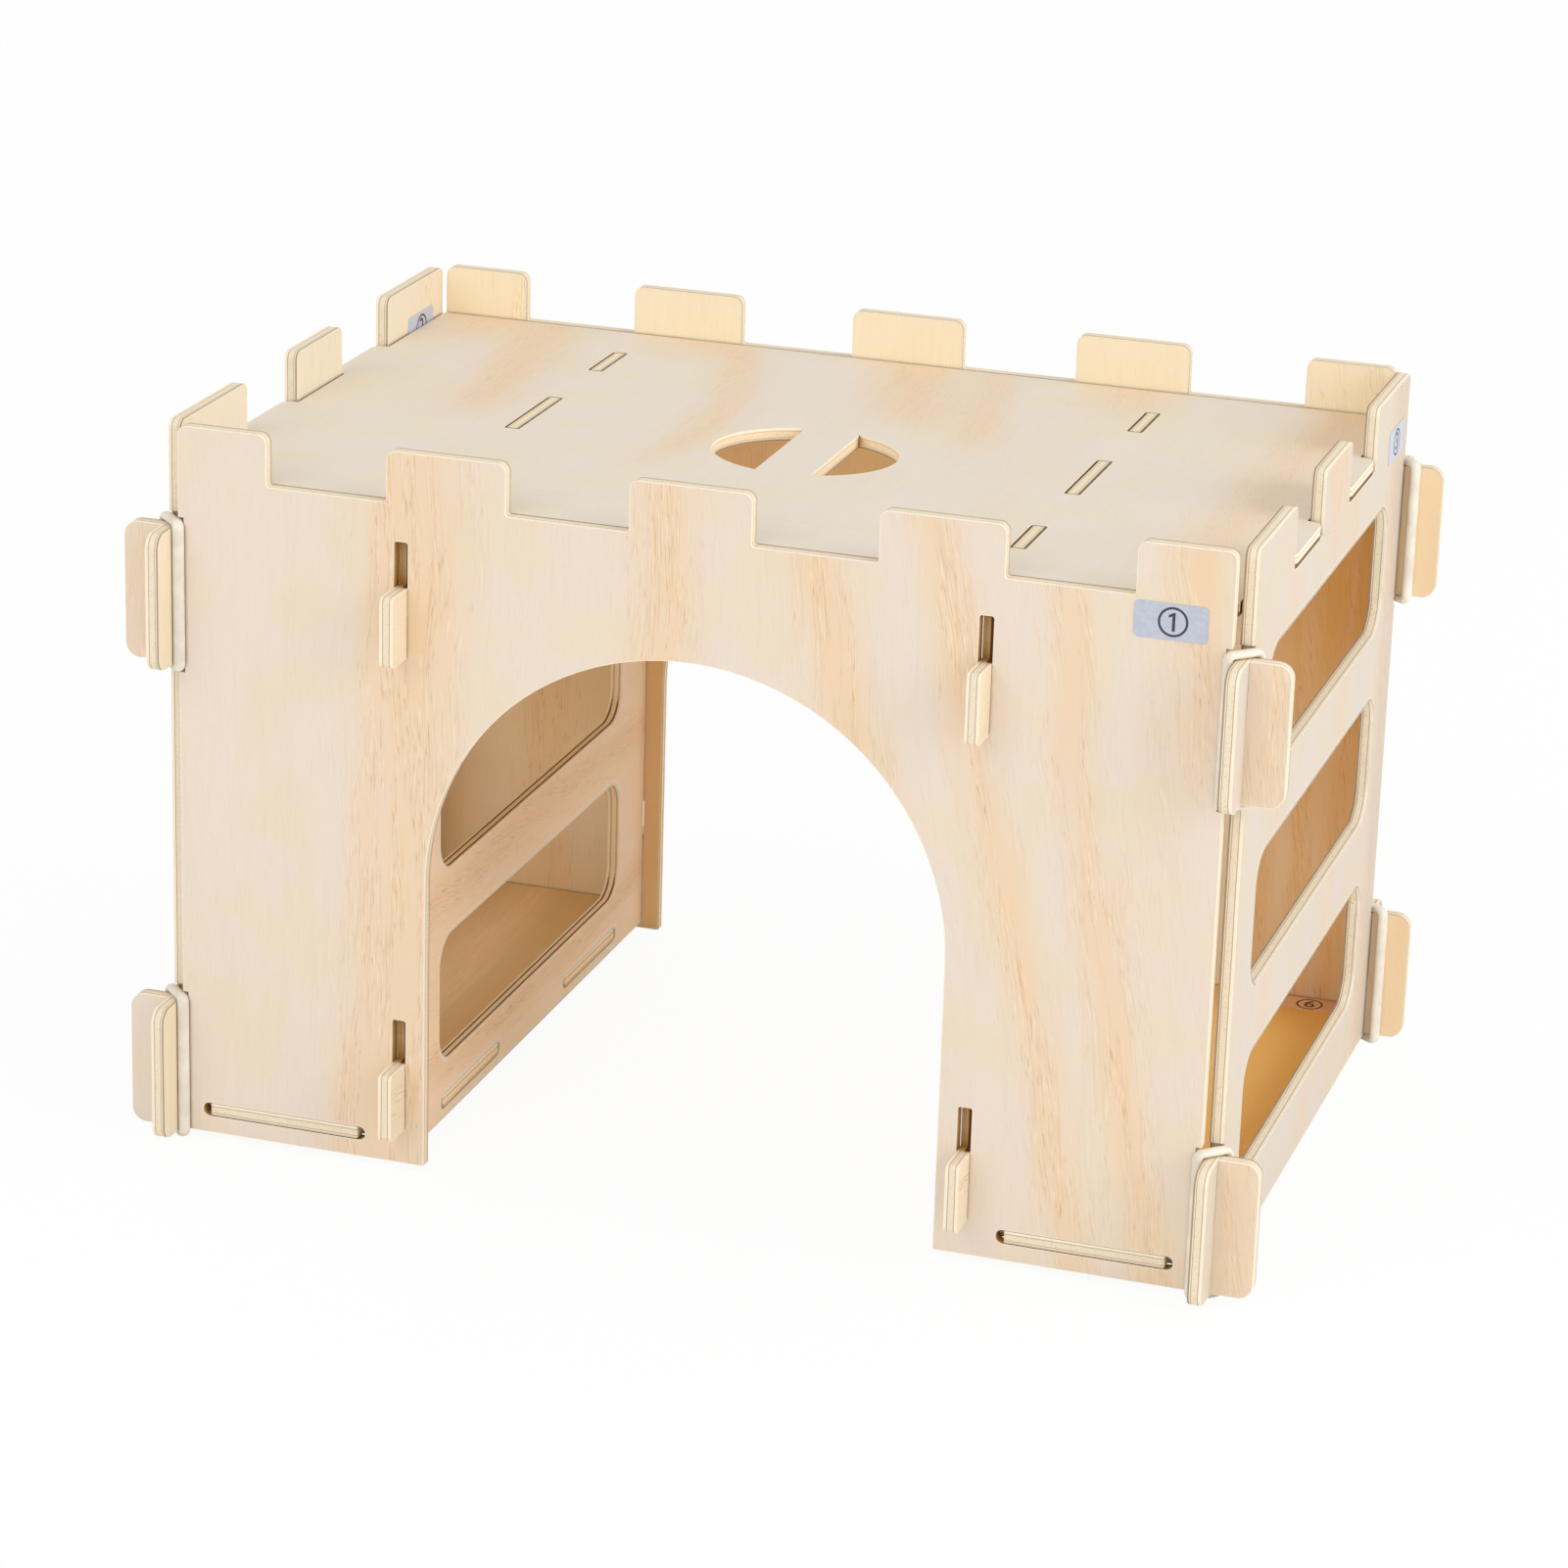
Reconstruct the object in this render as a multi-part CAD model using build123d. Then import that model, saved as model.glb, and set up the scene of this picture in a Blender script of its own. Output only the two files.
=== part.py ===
from build123d import *
import math
import os

# Rabbit house of slotted plywood panels: a castle with two towers and an arched
# passage between them, tied at the corners by elastic rings, with a lift-off roof.
# Millimetres. Origin under the middle of the house on the ground plane,
# +X to the right along the front, +Y to the back, +Z up. Heights are taken from
# the bottom edge of the walls, and the whole house is then lifted on to the ground,
# because the rings under the lower corner tabs are what it stands on.

# Sheet and house body, measured over the outer faces of the four walls
ply = 5.0
body_width = 400.0
body_depth = 265.0
wall_height = 272.0
corner_gap = 1.2

# Corner tabs: every wall runs on past its neighbour at two heights
tab_reach = 15.0
tab_height = 51.5
upper_tab_drop = 37.5
lower_tab_bottom = 0.0
tab_corner = 5.5
lap_clearance = 0.1

# Flat elastic rings looped round each crossing
ring_half_width = 2.2
ring_half_thickness = 1.5
ring_clearance = 0.1
ring_side_gap = 2.1
ring_bend = 2.0
ring_foot_depth = 0.5
back_ring_offset = 2.6
relief_depth = 2.2
relief_height = 3.5

# Battlements
long_notch_centres = (45.5, 136.5)
long_notch_depth = 19.0
end_notch_centre = 45.0
end_notch_depth = 24.0
notch_width = 46.0
merlon_corner = 3.5
notch_corner = 1.0
end_notch_corner = 0.4

# Arched passage
arch_radius = 98.0
front_arch_spring = 110.0
back_arch_spring = 107.0

# Windows of the end and inner walls, one above the other
window_count = 3
window_margin = 34.0
window_height = 50.0
window_sill = 25.5
window_head = 20.0
window_corner = 12.0

# Inner walls beside the passage
inner_wall_offset = 9.8
inner_wall_bottom = 2.5
inner_wall_clearance = 0.2
middle_top_tab = 46.0
outer_top_tab = 28.0
outer_top_tab_centre = 81.5

# Hooks of the inner walls through the long walls
hook_slot_clearance = 0.3
hook_slot_height = 27.0
hook_slot_corner = 1.0
upper_hook_slot_drop = 9.0
lower_hook_slot_bottom = 29.5
hook_neck = 10.0
hook_drop = 16.0
hook_reach = 13.7
hook_face_gap = 0.3
hook_corner = 2.0

# Floors of the two towers
floor_bottom = 6.6
floor_side_gap = 0.4
floor_slot_outer_margin = 9.0
floor_slot_inner_margin = 10.7
floor_slot_clearance = 0.1
floor_slot_corner = 2.4
floor_tab_end_gap = 3.0
side_tab_centre = 65.5
side_tab_width = 57.0
side_tab_end_gap = 2.0

# Roof
roof_end_gap = 0.8
roof_side_gap = 0.5
roof_tab_gap = 0.5
roof_tab_corner = 5.0
roof_slot_gap = 0.5
roof_slot_end_gap = 1.0
roof_slot_corner = 1.0
vent_centre = (2.5, -9.3)
vent_half_width = 35.0
vent_half_depth = 31.3
vent_bar_centre = 3.35
vent_bar_width = 21.1

# Number labels
label_thickness = 0.2
label_width = 26.0
label_height = 13.0
label_corner = 1.6
front_label_inset = 27.8
front_label_drop = 27.0
right_end_label_inset = 27.5
right_end_label_drop = 22.2
left_end_label_inset = 30.0
left_end_label_drop = 19.5
floor_label_end_inset = 22.0
floor_label_back_inset = 11.9

# Derived positions
half_width = body_width / 2
half_depth = body_depth / 2
long_wall_edge = half_width - ply - corner_gap
end_wall_edge = half_depth - ply - corner_gap
long_notch_bottom = wall_height - long_notch_depth
roof_bottom = wall_height - end_notch_depth
roof_top = roof_bottom + ply
floor_top = floor_bottom + ply
upper_tab_top = wall_height - upper_tab_drop
tab_levels = (
    (upper_tab_top - tab_height, upper_tab_top),
    (lower_tab_bottom, lower_tab_bottom + tab_height),
)
inner_wall_x = arch_radius + inner_wall_offset
hook_slot_bottoms = (
    roof_bottom - upper_hook_slot_drop - hook_slot_height,
    lower_hook_slot_bottom,
)
top_tabs = (
    (-outer_top_tab_centre, outer_top_tab),
    (0.0, middle_top_tab),
    (outer_top_tab_centre, outer_top_tab),
)
floor_slot_span = (
    inner_wall_x + ply / 2 + floor_slot_inner_margin,
    half_width - ply - floor_slot_outer_margin,
)
floor_slot_heights = (floor_bottom - floor_slot_clearance, floor_top + floor_slot_clearance)
ring_edge_gap = ring_half_thickness + ring_clearance
ground_drop = ring_edge_gap + ring_half_thickness - ring_foot_depth - lower_tab_bottom


def block(x0, x1, y0, y1):
    """Rectangle between two opposite corners."""
    return Pos((x0 + x1) / 2, (y0 + y1) / 2) * Rectangle(x1 - x0, y1 - y0)


def slot(x0, x1, y0, y1, radius):
    """Rectangle with rounded corners between two opposite corners."""
    return Pos((x0 + x1) / 2, (y0 + y1) / 2) * RectangleRounded(x1 - x0, y1 - y0, radius)


def round_corners(face, radius, chosen):
    """Round the corners of a flat outline that the given test picks."""
    corners = [v for v in face.vertices() if chosen(v.X, v.Y)]
    return fillet(corners, radius)


def near(a, b):
    """True where two sizes are the same."""
    return abs(a - b) < 1e-4


def wall_outline(edge, outer, notches, slots_from_above):
    """Wall with corner tabs, lap slots, ring reliefs and battlements, seen from outside."""
    face = block(-edge, edge, 0, wall_height)
    notch_centres, notch_bottom, corner = notches
    tip = outer + tab_reach
    for bottom, top in tab_levels:
        face += block(-tip, tip, bottom, top)
    for centre in notch_centres:
        for side in (-1, 1):
            middle = side * centre
            half = notch_width / 2
            face -= block(middle - half, middle + half, notch_bottom, wall_height + ply)
    face = round_corners(face, tab_corner, lambda x, y: near(abs(x), tip))
    face = round_corners(face, merlon_corner, lambda x, y: near(y, wall_height))
    face = round_corners(face, corner, lambda x, y: near(y, notch_bottom))
    for bottom, top in tab_levels:
        middle = (bottom + top) / 2
        lap = (middle, top + ply) if slots_from_above else (bottom - ply, middle)
        for side in (-1, 1):
            ends = (side * (outer - ply - lap_clearance), side * (outer + lap_clearance))
            face -= block(min(ends), max(ends), *lap)
            ends = (side * (edge - relief_depth), side * (edge + ply))
            face -= block(min(ends), max(ends), top, top + relief_height)
            face -= block(min(ends), max(ends), bottom - relief_height, bottom)
    return face


def long_wall_face(arch_spring):
    """Outline of the front or the back panel, with its arch springing at the given height."""
    notches = (long_notch_centres, long_notch_bottom, notch_corner)
    face = wall_outline(long_wall_edge, half_width, notches, True)
    face -= block(-arch_radius, arch_radius, -ply, arch_spring)
    face -= Pos(0, arch_spring) * Circle(arch_radius)
    for side in (-1, 1):
        x = side * inner_wall_x
        half = (ply + hook_slot_clearance) / 2
        for bottom in hook_slot_bottoms:
            top = bottom + hook_slot_height
            face -= block(x - half, x + half, bottom, bottom + hook_neck)
            face -= slot(x - half, x + half, bottom + ply, top, hook_slot_corner)
        ends = (side * floor_slot_span[0], side * floor_slot_span[1])
        face -= slot(min(ends), max(ends), *floor_slot_heights, floor_slot_corner)
    return face


def cut_windows(face):
    """The face with its wide windows, spread evenly between sill and head."""
    half = half_depth - window_margin
    highest = roof_bottom - window_head - window_height
    step = (highest - window_sill) / (window_count - 1)
    for i in range(window_count):
        bottom = window_sill + i * step
        face -= slot(-half, half, bottom, bottom + window_height, window_corner)
    return face


def end_wall_face():
    """Outline of the left and the right end panel."""
    notches = ((end_notch_centre,), roof_bottom, end_notch_corner)
    return cut_windows(wall_outline(end_wall_edge, half_depth, notches, False))


def inner_wall_face():
    """Outline of the walls beside the passage, with hooks and roof tabs."""
    edge = half_depth - ply - inner_wall_clearance
    tip = half_depth + hook_reach
    lip = half_depth + hook_face_gap
    face = block(-edge, edge, inner_wall_bottom, roof_bottom)
    for centre, width in top_tabs:
        face += block(centre - width / 2, centre + width / 2, roof_bottom - ply, roof_top)
    for bottom in hook_slot_bottoms:
        top = bottom + hook_neck
        face += block(-tip, tip, bottom, top)
        face += block(-tip, -lip, bottom - hook_drop, top)
        face += block(lip, tip, bottom - hook_drop, top)
    face = round_corners(face, hook_corner, lambda x, y: near(abs(x), tip))
    face = cut_windows(face)
    for side in (-1, 1):
        y = side * side_tab_centre
        half = side_tab_width / 2 + side_tab_end_gap
        face -= slot(y - half, y + half, *floor_slot_heights, floor_slot_corner)
    return face


def floor_face(side):
    """Outline of a tower floor, seen from above, on the given side."""
    outer = half_width - ply - floor_side_gap
    inner = inner_wall_x + ply / 2 + floor_side_gap
    passage = inner_wall_x - ply / 2
    edge = half_depth - ply - floor_side_gap
    face = block(inner, outer, -edge, edge)
    tab_start = floor_slot_span[0] + floor_tab_end_gap
    tab_end = floor_slot_span[1] - floor_tab_end_gap
    face += block(tab_start, tab_end, -half_depth, half_depth)
    half = side_tab_width / 2
    for end in (-1, 1):
        y = end * side_tab_centre
        face += block(passage, inner + ply, y - half, y + half)
    return face if side > 0 else mirror(face, about=Plane.YZ)


def roof_face():
    """Outline of the roof panel, seen from above."""
    end = half_width - ply - roof_end_gap
    edge = half_depth - ply - roof_side_gap
    face = block(-end, end, -edge, edge)
    half = notch_width / 2 - roof_tab_gap
    for side in (-1, 1):
        y = side * end_notch_centre
        face += block(-half_width, half_width, y - half, y + half)
    face = round_corners(face, roof_tab_corner, lambda x, y: near(abs(x), half_width))
    half = ply / 2 + roof_slot_gap
    for side in (-1, 1):
        x = side * inner_wall_x
        for y, width in top_tabs:
            reach = width / 2 + roof_slot_end_gap
            face -= slot(x - half, x + half, y - reach, y + reach, roof_slot_corner)
    vent = Pos(*vent_centre) * Ellipse(vent_half_width, vent_half_depth)
    half = vent_bar_width / 2
    y0 = vent_centre[1] - vent_half_depth - ply
    y1 = vent_centre[1] + vent_half_depth + ply
    vent -= block(vent_bar_centre - half, vent_bar_centre + half, y0, y1)
    return face - vent


def long_wall(front_y, arch_spring):
    """Wall sheet across the house with its front face at the given depth."""
    plane = Plane(origin=(0, front_y, 0), x_dir=(1, 0, 0), z_dir=(0, -1, 0))
    return extrude(plane * long_wall_face(arch_spring), amount=-ply)


def cross_wall(face, left_x):
    """Wall sheet along the depth with its left face at the given place."""
    plane = Plane(origin=(left_x, 0, 0), x_dir=(0, 1, 0), z_dir=(1, 0, 0))
    return extrude(plane * face, amount=ply)


def flat_panel(face, bottom):
    """Level sheet with its underside at the given height."""
    return extrude(Pos(0, 0, bottom) * face, amount=ply)


def ring(x_side, y_side, level, offset):
    """Flat elastic ring round the crossing of two corner tabs, held off the end wall."""
    bottom, top = level
    # The runs stand in the two open quarters beside the crossing
    gap = ring_side_gap
    outer_run = Vector(x_side * (half_width + gap + offset), y_side * (half_depth - ply - gap), 0)
    inner_run = Vector(x_side * (half_width - ply - gap), y_side * (half_depth + gap), 0)
    across = outer_run - inner_run
    height = top - bottom + 2 * ring_edge_gap
    plane = Plane(
        origin=(outer_run + inner_run) / 2 + Vector(0, 0, (bottom + top) / 2),
        x_dir=across,
        z_dir=across.cross(Vector(0, 0, 1)),
    )
    path = (plane * RectangleRounded(across.length, height, ring_bend)).face().outer_wire()
    start = Plane(origin=path @ 0, x_dir=plane.z_dir, z_dir=path % 0)
    return sweep(start * Ellipse(ring_half_width, ring_half_thickness), path=path)


def label(centre, along, outward):
    """Thin number label on a face, from its middle, its long side and its outward side."""
    plane = Plane(origin=centre, x_dir=along, z_dir=outward)
    face = plane * RectangleRounded(label_width, label_height, label_corner)
    return extrude(face, amount=label_thickness)


def main():
    os.makedirs("parts", exist_ok=True)
    inner_left = -inner_wall_x - ply / 2
    inner_right = inner_wall_x - ply / 2
    nodes = {
        "front_panel": long_wall(-half_depth, front_arch_spring),
        "back_panel": long_wall(half_depth - ply, back_arch_spring),
        "left_end_panel": cross_wall(end_wall_face(), -half_width),
        "right_end_panel": cross_wall(end_wall_face(), half_width - ply),
        "left_inner_wall": cross_wall(inner_wall_face(), inner_left),
        "right_inner_wall": cross_wall(inner_wall_face(), inner_right),
        "left_floor_panel": flat_panel(floor_face(-1), floor_bottom),
        "right_floor_panel": flat_panel(floor_face(1), floor_bottom),
        "roof_panel": flat_panel(roof_face(), roof_bottom),
        "front_number_label": label(
            (half_width - front_label_inset, -half_depth, wall_height - front_label_drop),
            along=(1, 0, 0), outward=(0, -1, 0),
        ),
        "right_end_number_label": label(
            (half_width, half_depth - right_end_label_inset, wall_height - right_end_label_drop),
            along=(0, 1, 0), outward=(1, 0, 0),
        ),
        "left_end_number_label": label(
            (ply - half_width, half_depth - left_end_label_inset,
             wall_height - left_end_label_drop),
            along=(0, 1, 0), outward=(1, 0, 0),
        ),
        "right_floor_number_label": label(
            (half_width - floor_label_end_inset, half_depth - floor_label_back_inset, floor_top),
            along=(1, 0, 0), outward=(0, 0, 1),
        ),
    }
    depths = {"front": -1, "back": 1}
    sides = {"left": -1, "right": 1}
    levels = {"upper": tab_levels[0], "lower": tab_levels[1]}
    ground = Plane.XY.offset(-ground_drop)
    for depth_name, y_side in depths.items():
        for side_name, x_side in sides.items():
            for level_name, level in levels.items():
                name = f"{depth_name}_{side_name}_{level_name}_ring"
                offset = back_ring_offset if y_side > 0 else 0.0
                shape = ring(x_side, y_side, level, offset)
                # The weight of the house presses the lower rings flat on the ground
                nodes[name] = split(shape, bisect_by=ground, keep=Keep.TOP)
    for name, shape in nodes.items():
        export_step(Pos(0, 0, ground_drop) * shape, f"parts/{name}.step")


main()
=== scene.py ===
import math
from collections import namedtuple

import bmesh
import bpy
from mathutils import Matrix, Vector

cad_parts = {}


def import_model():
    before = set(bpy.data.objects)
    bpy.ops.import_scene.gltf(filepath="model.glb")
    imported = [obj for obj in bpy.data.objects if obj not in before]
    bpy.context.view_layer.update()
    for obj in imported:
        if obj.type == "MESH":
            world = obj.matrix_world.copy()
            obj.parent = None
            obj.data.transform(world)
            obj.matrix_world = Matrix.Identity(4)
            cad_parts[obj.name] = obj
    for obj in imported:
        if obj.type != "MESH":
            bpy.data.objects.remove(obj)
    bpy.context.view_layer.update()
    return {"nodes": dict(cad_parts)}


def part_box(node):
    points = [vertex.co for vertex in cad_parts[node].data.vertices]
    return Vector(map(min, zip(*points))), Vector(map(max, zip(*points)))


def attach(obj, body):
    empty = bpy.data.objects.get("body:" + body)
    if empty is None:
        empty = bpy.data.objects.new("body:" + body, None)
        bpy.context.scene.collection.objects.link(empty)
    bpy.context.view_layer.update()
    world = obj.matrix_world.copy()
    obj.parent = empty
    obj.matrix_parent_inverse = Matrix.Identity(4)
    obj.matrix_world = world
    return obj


MM = 0.001

# Camera: place in metres, turns, and lens in millimetres
CAMERA_PLACE = (0.54378, -1.74013, 0.76857)
CAMERA_AZIMUTH = math.radians(17.498)
CAMERA_ELEVATION = math.radians(19.526)
CAMERA_ROLL = math.radians(1.776)
CAMERA_LENS = 117.257
SENSOR_WIDTH = 36.0

# Sizes and places of the sheets in millimetres
PLY = 5.0
EDGE_ROUNDING = 0.6
WELD_REACH = 0.01
ROOF_TOP = 255.6
PANEL_MIDDLE = 138.0
PANEL_REACH = 136.0
LONG_WALL_HALF = 200.0
CROSS_WALL_HALF = 132.5
NO_TABS = 400.0
HOOK_SLOT_X = 107.8
FLOOR_SLOT_Z = 11.8
FLOOR_SLOT_HALF = 5.0
SEAM_STRIP_X = 138.5

# Edges that turn by more than this are rounded, in a few steps
SHARP_ANGLE = math.radians(50)
ROUNDING_STEPS = 3

# Where a shade of a sheet starts and ends, in millimetres
ROOM_RISE = (60.0, 190.0)
ARCH_SIDE = (104.0, 106.0)
VENT_RISE = (180.0, 200.0)
SEAM_STRIP_SIDE = (1.5, 3.5)
END_SEAM_SIDE = (120.0, 123.0)
END_BACK_SIDE = (96.0, 116.0)
MERLON_RISE = (ROOF_TOP - 6.0, ROOF_TOP + 2.0)
TAB_TOP_RISE = (ROOF_TOP - 4.0, ROOF_TOP - 2.0)
INNER_WALL_END = (118.0, 120.0)
HOOK_BACK_START = (124.0, 126.0)
HOOK_BACK_END = (131.0, 133.0)
ROOF_END = (192.0, 194.0)
HOOK_SLOT_SIDE = (4.0, 6.0)
CORNER_START = 9.0
CORNER_END = 7.0

# Layers of a sheet, as shares of its thickness from its middle plane
GLUE_START = (0.20, 0.24)
GLUE_END = (0.265, 0.31)
VENEER_START = (0.24, 0.28)
TAB_LINE_START = (0.37, 0.41)

# Width and length of the marks in the wood, in millimetres
PATCH = (50.0, 250.0)
FRAY = (4.0, 60.0)
FIBRE = (0.8, 70.0)
FINE_LINE = (0.5, 24.0)
LINE_GROUP = (5.0, 60.0)
DASH = (0.5, 7.0)
PORE = (0.4, 5.0)
BLOTCH = 34.0
STREAK_DRIFT = 10.0
STREAK_FRAY = 14.0

# Strengths of the marks and shades, from 0 to 1
PATCH_SHARE = 0.20
LINE_SHARE = 0.42
DASH_SHARE = 0.9
PALE_DASH_SHARE = 0.5
FIBRE_SHARE = 0.05
LEAST_MARKS = 0.12
SPECK_SHARE = 0.30
GLUE_SHARE = 0.85
SIDE_GLUE_SHARE = 0.4
EDGE_WAVER = 0.06
WIDER_GLUE = 0.05
ARRIS_SHADE_SHARE = 0.75
TAB_TOP_SHARE = 0.8
END_BACK_SHADE_SHARE = 0.85
OUTLINE_SHADE_SHARE = 0.45
WINDOW_LINE_SHARE = 0.85
INNER_WINDOW_LINE_SHARE = 0.35
CREVICE_SHADE_SHARE = 0.9
CORNER_SHADE_SHARE = 0.12

# Reach of the surroundings that shade a point, in millimetres, and rays that look there
SLOT_REACH = 9.0
CREVICE_REACH = 2.5
OUTLINE_REACH = 1.0
ARRIS_REACH = 4.0
SURROUNDING_RAYS = 6

# Colours from 0 to 255
FRONT_VENEER = (236, 221, 204)
FRONT_STREAK = (241, 211, 176)
END_VENEER = (215, 204, 190)
END_STREAK = (223, 197, 168)
END_BACK_SHADE = (206, 193, 178)
LEFT_END_VENEER = (229, 216, 199)
ROOF_VENEER = (234, 223, 207)
ROOF_STREAK = (238, 211, 178)
# Veneer of the rooms' sides and floors, warmed with painted bounce light
ROOM_VENEER_AND_BOUNCE = (255, 237, 210)
ROOM_STREAK_AND_BOUNCE = (255, 222, 176)
ROOM_HIGH_BOUNCE = (249, 210, 136)
FLOOR_VENEER_AND_BOUNCE = (234, 200, 150)
RIGHT_FLOOR_VENEER_AND_BOUNCE = (255, 210, 124)
PASSAGE_VENEER = (249, 221, 190)
PASSAGE_STREAK = (240, 203, 161)
PASSAGE_BACK_BOUNCE = (238, 200, 146)
VENT_BACK_BOUNCE = (255, 226, 176)
TAB_VENEER = (240, 225, 197)
BACK_TAB = (255, 228, 188)
BACK_MERLON = (255, 240, 208)
END_MERLON = (237, 223, 200)
SEAM_SHADE = (160, 150, 128)
SEAM_PALE_STRIP = (255, 252, 240)
GRAIN_LINE = (206, 168, 122)
# Painted highlight on rims and roundings, and also the colour of the pale grain dashes
RIM_HIGHLIGHT_AND_PALE_GRAIN = (255, 246, 226)
OUTLINE_SHADE = (196, 160, 118)
TAB_TOP = (240, 224, 194)
GAP_SHADE_LINE = (120, 98, 62)
SLOT_SHADE = (200, 156, 82)
ARRIS_SHADE = (128, 94, 54)
CREVICE_SHADE = (112, 66, 32)
RING_MILKY = (226, 218, 204)
RING_PALE = (240, 234, 220)
LABEL_FILM = (188, 193, 207)
FLOOR_LABEL_FILM = (247, 206, 178)
INK = (50, 51, 60)
FLOOR_INK = (88, 48, 24)
STUDIO_WHITE = (252, 252, 252)
FILM_MOTTLE = 8
INK_MOTTLE = 16

# Cut edges: colours of the outer layers, the core and the glue lines
PLAIN_EDGE = ((250, 238, 214), (239, 226, 202), (190, 152, 106))
WINDOW_EDGE = ((255, 255, 244), (255, 251, 230), (196, 158, 108))
# The golden edges of the inner windows, the back arch and the floors are the ply's layers warmed with
# painted bounce light
INNER_EDGE_AND_BOUNCE = ((255, 237, 204), (253, 224, 184), (70, 38, 18))
VENT_EDGE = ((255, 244, 220), (255, 236, 204), (222, 184, 134))
FLOOR_EDGE_AND_BOUNCE = ((255, 234, 198), (255, 226, 186), (170, 124, 72))

# Openings with edge colours of their own: axis, middle and half length of each span
Opening = namedtuple("Opening", "spans edge")
NO_OPENING = Opening((), PLAIN_EDGE)
END_WINDOWS = Opening(((1, 0.0, 99.5), (2, 130.0, 112.0)), WINDOW_EDGE)
INNER_WINDOWS = Opening(((1, 0.0, 99.5), (2, 130.0, 131.0)), INNER_EDGE_AND_BOUNCE)
BACK_ARCH = Opening(((0, 0.0, 100.0), (2, 60.0, 155.0)), INNER_EDGE_AND_BOUNCE)
VENT = Opening(((0, 2.5, 45.0), (1, -9.3, 40.0)), VENT_EDGE)
FLOOR_TABS = Opening(((0, 0.0, 112.0),), FLOOR_EDGE_AND_BOUNCE)

# Sides of the sheets: veneer, its streaks, and the veneer above the roof where it differs
Side = namedtuple("Side", "veneer streak merlon")
FRONT_SIDE = Side(FRONT_VENEER, FRONT_STREAK, None)
END_SIDE = Side(END_VENEER, END_STREAK, None)
LEFT_END_SIDE = Side(LEFT_END_VENEER, FRONT_STREAK, None)
ROOF_SIDE = Side(ROOF_VENEER, ROOF_STREAK, None)
FLOOR_SIDE = Side(FLOOR_VENEER_AND_BOUNCE, ROOM_STREAK_AND_BOUNCE, None)
RIGHT_FLOOR_SIDE = Side(RIGHT_FLOOR_VENEER_AND_BOUNCE, ROOM_STREAK_AND_BOUNCE, None)
PASSAGE_SIDE = Side(PASSAGE_VENEER, PASSAGE_STREAK, None)
ROOM_SIDE = Side(ROOM_VENEER_AND_BOUNCE, ROOM_STREAK_AND_BOUNCE, None)
LONG_ROOM_SIDE = Side(ROOM_VENEER_AND_BOUNCE, ROOM_STREAK_AND_BOUNCE, BACK_MERLON)
END_ROOM_SIDE = Side(ROOM_VENEER_AND_BOUNCE, ROOM_STREAK_AND_BOUNCE, END_MERLON)
ROOM_SIDES = (ROOM_SIDE, LONG_ROOM_SIDE, END_ROOM_SIDE)

# Kinds of sheets: axes of the thickness and the grain, half length of the body between
# the tabs, and strength of the grain lines
Kind = namedtuple("Kind", "thickness_axis grain_axis body_half line_strength")
LONG_WALL = Kind(1, 2, LONG_WALL_HALF, 0.8)
END_WALL = Kind(0, 2, CROSS_WALL_HALF, 0.6)
INNER_WALL = Kind(0, 1, CROSS_WALL_HALF, 1.0)
FLOOR = Kind(2, 1, NO_TABS, 0.3)
ROOF = Kind(2, 1, NO_TABS, 0.4)

# Streaks of the veneers in millimetres: place at the far end of the grain, in the middle
# and at the near end, half width, strength, and where along the grain it fades out
NO_FADE = -400.0
FADE_REACH = 30.0
FRONT_STREAKS = (
    (-99.0, -104.0, -111.0, 18.0, 0.8, NO_FADE),
    (-113.0, -122.0, -128.0, 6.0, 0.35, NO_FADE),
    (-10.0, -8.0, -8.0, 12.0, 0.9, NO_FADE),
    (43.0, 91.0, 203.0, 10.5, 1.0, 172.0),
    (88.0, 119.0, 151.0, 8.5, 0.8, NO_FADE),
    (135.0, 151.0, 180.0, 8.5, 0.72, NO_FADE),
    (183.0, 186.0, 186.0, 8.0, 0.55, 195.0),
    (182.0, 182.0, 182.0, 9.0, 0.6, 248.0),
    (-209.0, -209.0, -208.0, 7.0, 0.45, 120.0),
    (209.0, 209.0, 209.0, 9.0, 0.65, NO_FADE),
)
BACK_STREAKS = (
    (-160.0, -150.0, -145.0, 12.0, 0.7, NO_FADE),
    (-52.0, -60.0, -80.0, 10.0, 0.8, NO_FADE),
    (60.0, 75.0, 104.0, 9.0, 0.6, NO_FADE),
    (130.0, 118.0, 100.0, 12.0, 0.9, NO_FADE),
    (152.0, 154.0, 150.0, 5.0, 1.0, NO_FADE),
    (170.0, 168.0, 172.0, 4.0, 0.9, NO_FADE),
    (186.0, 184.0, 182.0, 4.0, 0.9, NO_FADE),
)
END_STREAKS = (
    (-124.0, -122.0, -124.0, 8.0, 0.25, NO_FADE),
    (-60.0, -70.0, -90.0, 16.0, 0.4, NO_FADE),
    (40.0, 30.0, 10.0, 14.0, 0.4, NO_FADE),
    (114.0, 116.0, 114.0, 15.0, 1.0, NO_FADE),
    (2.0, 2.0, 2.0, 14.0, 1.1, 245.0),
)
ROOF_STREAKS = (
    (-178.0, -172.0, -165.0, 18.0, 0.95, 95.0),
    (-150.0, -133.0, -131.0, 15.0, 1.0, -5.0),
    (-88.0, -88.0, -88.0, 16.0, 0.8, 108.0),
    (-76.0, -43.0, -80.0, 11.0, 0.8, -40.0),
    (0.0, 32.0, 32.0, 18.0, 1.0, 45.0),
    (34.0, 58.0, 56.0, 9.0, 0.7, 20.0),
    (92.0, 110.0, 120.0, 18.0, 0.7, 92.0),
    (180.0, 173.0, 176.0, 15.0, 0.75, NO_FADE),
    (184.0, 186.0, 188.0, 14.0, 1.0, 85.0),
)
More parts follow.
